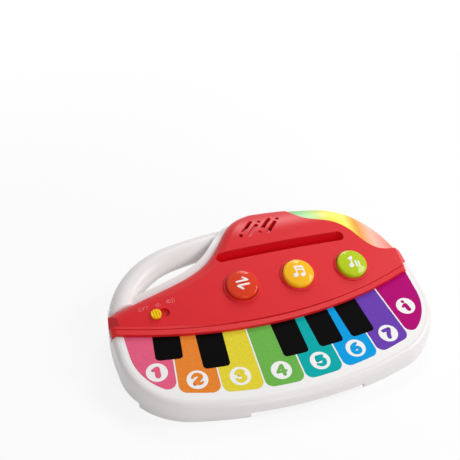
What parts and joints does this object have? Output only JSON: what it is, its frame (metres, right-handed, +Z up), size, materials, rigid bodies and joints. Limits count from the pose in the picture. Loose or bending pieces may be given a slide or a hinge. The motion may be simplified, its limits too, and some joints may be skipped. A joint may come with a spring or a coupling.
{
  "type": "toy piano",
  "caption": "Battery toy piano: white wedge housing with a carrying handle, coloured keys, red cover with round buttons, slide switch, card slot and lamp window.",
  "frame": {"origin": "under the middle of the plan, at the level of the feet", "axes": "+X along the width to the right, +Y towards the rear, +Z up"},
  "size_m": [0.249, 0.167, 0.0593],
  "materials": {
    "white_plastic": "satin",
    "red_plastic": "satin",
    "film_white": "matte",
    "lamp_window": "translucent satin",
    "key_1": "matte film",
    "key_2": "matte film",
    "key_3": "matte film",
    "key_4": "matte film",
    "key_5": "matte film",
    "key_6": "matte film",
    "key_7": "matte film",
    "key_8": "matte film",
    "black_key": "matte film",
    "button_1": "gloss",
    "button_2": "gloss",
    "button_3": "gloss",
    "switch_yellow": "satin",
    "board_green": "matte",
    "dark_plastic": "matte",
    "steel": "brushed",
    "cone_paper": "matte",
    "cell_wrap": "satin",
    "lamp_clear": "clear"
  },
  "bodies": {
    "housing": {"battery_1": "cell_wrap", "battery_2": "cell_wrap", "battery_3": "cell_wrap", "battery_contact_left": "steel", "battery_contact_right": "steel", "button_board": "board_green", "card_pocket": "red_plastic", "film_frame": "film_white", "handle_lower_shell": "white_plastic", "handle_upper_shell": "white_plastic", "housing_screw_1": "steel", "housing_screw_2": "steel", "housing_screw_3": "steel", "housing_screw_4": "steel", "housing_screw_5": "steel", "key_board": "board_green", "key_spacer": "film_white", "lamp_1": "lamp_clear", "lamp_2": "lamp_clear", "lamp_3": "lamp_clear", "lamp_board": "board_green", "light_window": "lamp_window", "lower_housing": "white_plastic", "speaker_basket": "steel", "speaker_cone": "cone_paper", "speaker_magnet": "steel", "switch_body": "red_plastic", "tact_switch_1": "dark_plastic", "tact_switch_2": "dark_plastic", "tact_switch_3": "dark_plastic", "top_cover": "red_plastic", "upper_housing": "white_plastic"},
    "key_1": {"key_1": "key_1"},
    "key_2": {"key_2": "key_2"},
    "key_3": {"key_3": "key_3"},
    "key_4": {"key_4": "key_4"},
    "key_5": {"key_5": "key_5"},
    "key_6": {"key_6": "key_6"},
    "key_7": {"key_7": "key_7"},
    "key_8": {"key_8": "key_8"},
    "black_key_1": {"black_key_1": "black_key"},
    "black_key_2": {"black_key_2": "black_key"},
    "black_key_3": {"black_key_3": "black_key"},
    "black_key_4": {"black_key_4": "black_key"},
    "black_key_5": {"black_key_5": "black_key"},
    "button_1": {"button_1": "button_1"},
    "button_2": {"button_2": "button_2"},
    "button_3": {"button_3": "button_3"},
    "switch_knob": {"switch_knob": "switch_yellow"},
    "battery_door": {"battery_door": "white_plastic", "door_screw": "steel"}
  },
  "joints": [
    {"name": "key_1_press", "type": "slide", "parent": "housing", "child": "key_1", "axis": [0, -0.2079, 0.9781], "range_m": [-0.0007, 0], "stiffness_N_per_m": 300},
    {"name": "key_2_press", "type": "slide", "parent": "housing", "child": "key_2", "axis": [0, -0.2079, 0.9781], "range_m": [-0.0007, 0], "stiffness_N_per_m": 300},
    {"name": "key_3_press", "type": "slide", "parent": "housing", "child": "key_3", "axis": [0, -0.2079, 0.9781], "range_m": [-0.0007, 0], "stiffness_N_per_m": 300},
    {"name": "key_4_press", "type": "slide", "parent": "housing", "child": "key_4", "axis": [0, -0.2079, 0.9781], "range_m": [-0.0007, 0], "stiffness_N_per_m": 300},
    {"name": "key_5_press", "type": "slide", "parent": "housing", "child": "key_5", "axis": [0, -0.2079, 0.9781], "range_m": [-0.0007, 0], "stiffness_N_per_m": 300},
    {"name": "key_6_press", "type": "slide", "parent": "housing", "child": "key_6", "axis": [0, -0.2079, 0.9781], "range_m": [-0.0007, 0], "stiffness_N_per_m": 300},
    {"name": "key_7_press", "type": "slide", "parent": "housing", "child": "key_7", "axis": [0, -0.2079, 0.9781], "range_m": [-0.0007, 0], "stiffness_N_per_m": 300},
    {"name": "key_8_press", "type": "slide", "parent": "housing", "child": "key_8", "axis": [0, -0.2079, 0.9781], "range_m": [-0.0007, 0], "stiffness_N_per_m": 300},
    {"name": "black_key_1_press", "type": "slide", "parent": "housing", "child": "black_key_1", "axis": [0, -0.2079, 0.9781], "range_m": [-0.0007, 0], "stiffness_N_per_m": 300},
    {"name": "black_key_2_press", "type": "slide", "parent": "housing", "child": "black_key_2", "axis": [0, -0.2079, 0.9781], "range_m": [-0.0007, 0], "stiffness_N_per_m": 300},
    {"name": "black_key_3_press", "type": "slide", "parent": "housing", "child": "black_key_3", "axis": [0, -0.2079, 0.9781], "range_m": [-0.0007, 0], "stiffness_N_per_m": 300},
    {"name": "black_key_4_press", "type": "slide", "parent": "housing", "child": "black_key_4", "axis": [0, -0.2079, 0.9781], "range_m": [-0.0007, 0], "stiffness_N_per_m": 300},
    {"name": "black_key_5_press", "type": "slide", "parent": "housing", "child": "black_key_5", "axis": [0, -0.2079, 0.9781], "range_m": [-0.0007, 0], "stiffness_N_per_m": 300},
    {"name": "button_1_press", "type": "slide", "parent": "housing", "child": "button_1", "axis": [-0.0138, -0.3338, 0.9426], "range_m": [-0.002, 0], "stiffness_N_per_m": 400},
    {"name": "button_2_press", "type": "slide", "parent": "housing", "child": "button_2", "axis": [0.0177, -0.3338, 0.9425], "range_m": [-0.002, 0], "stiffness_N_per_m": 400},
    {"name": "button_3_press", "type": "slide", "parent": "housing", "child": "button_3", "axis": [0.0492, -0.3334, 0.9415], "range_m": [-0.002, 0], "stiffness_N_per_m": 400},
    {"name": "switch_slide", "type": "slide", "parent": "housing", "child": "switch_knob", "axis": [0.9981, 0, 0.0623], "range_m": [0, 0.006]},
    {"name": "battery_door_lift", "type": "slide", "parent": "housing", "child": "battery_door", "axis": [0, 0, -1], "range_m": [0, 0.012]}
  ]
}
